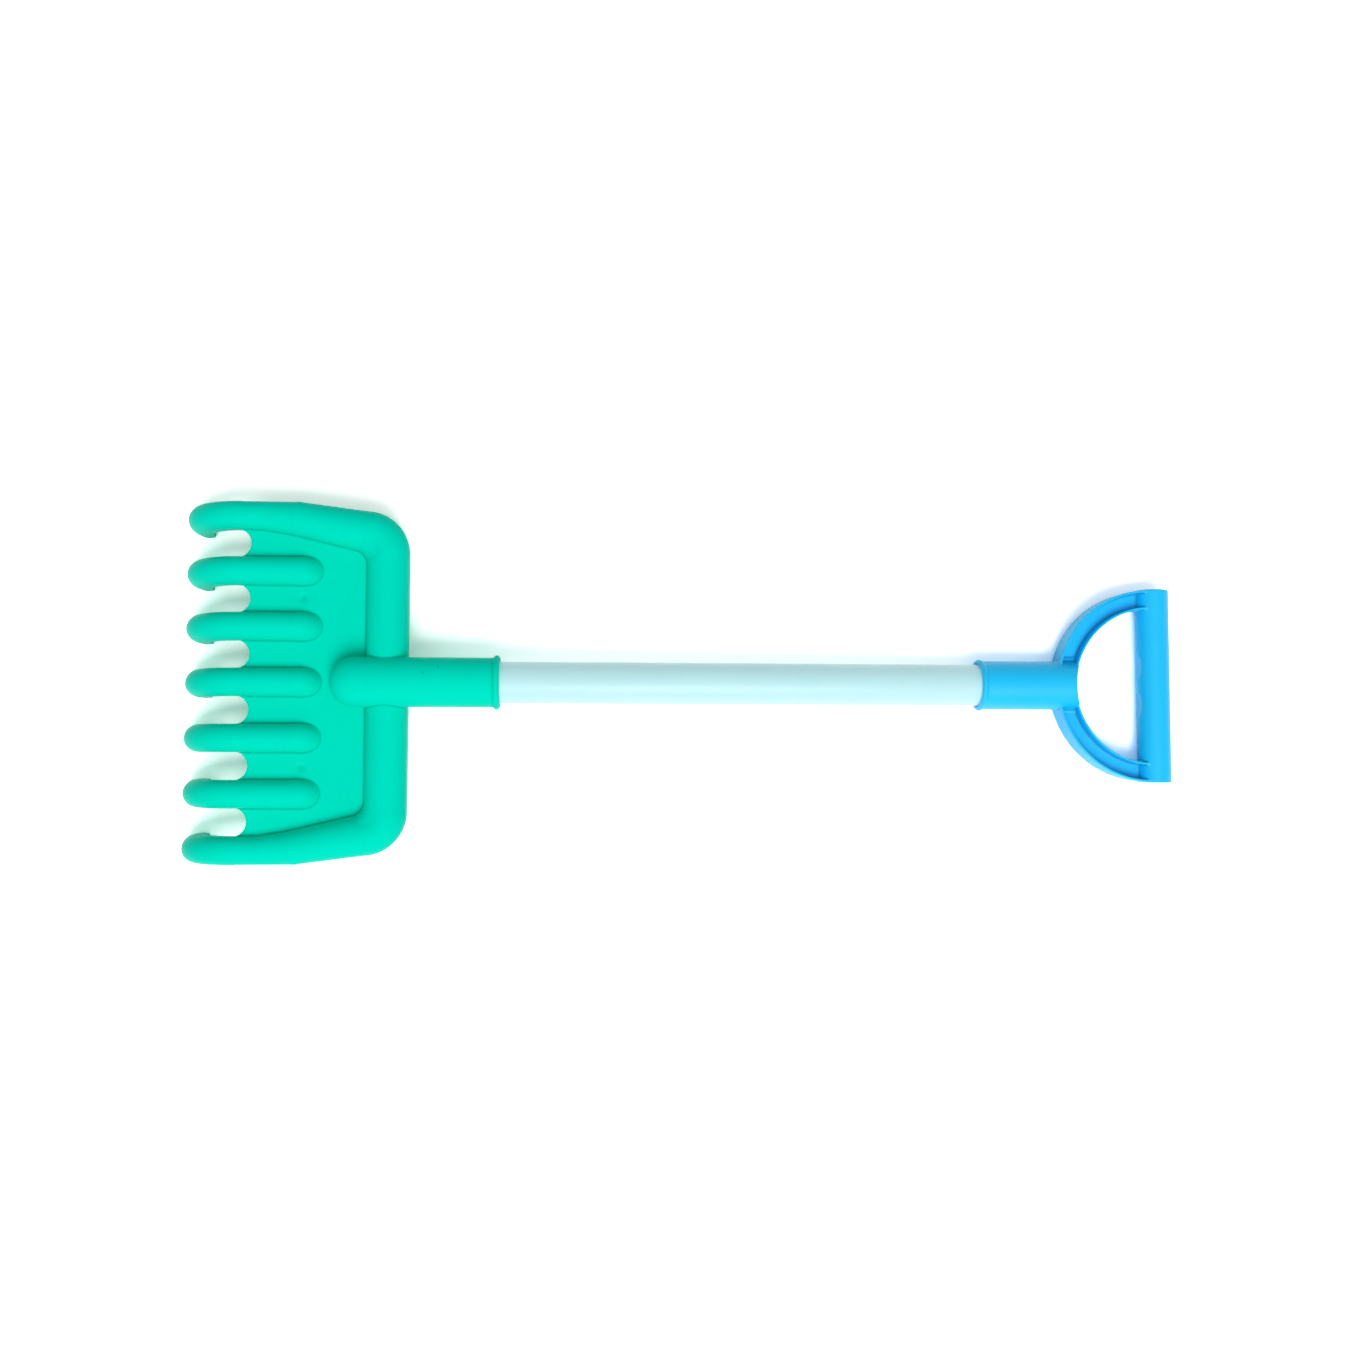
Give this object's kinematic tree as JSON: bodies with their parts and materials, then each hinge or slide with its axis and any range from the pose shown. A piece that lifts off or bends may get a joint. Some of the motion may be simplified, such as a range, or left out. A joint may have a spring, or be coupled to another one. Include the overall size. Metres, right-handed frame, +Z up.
{
  "type": "sand rake",
  "caption": "Long-handled toy sand rake: a moulded head with hollow tines bent downwards, a straight tube shaft and a D-shaped hand grip.",
  "frame": {"origin": "on the ground under the middle of the overall box, with the rake lying at rest tines down", "axes": "+X from the tines towards the hand grip, +Y across the rake, +Z up"},
  "size_m": [0.6007, 0.2148, 0.0537],
  "materials": {
    "head_plastic": "satin moulded plastic, blue-green",
    "tube_plastic": "satin tube, pale aqua",
    "handle_plastic": "satin moulded plastic, sky blue"
  },
  "bodies": {
    "root": {"rake_head": "head_plastic", "shaft_tube": "tube_plastic", "d_handle": "handle_plastic"}
  },
  "joints": []
}
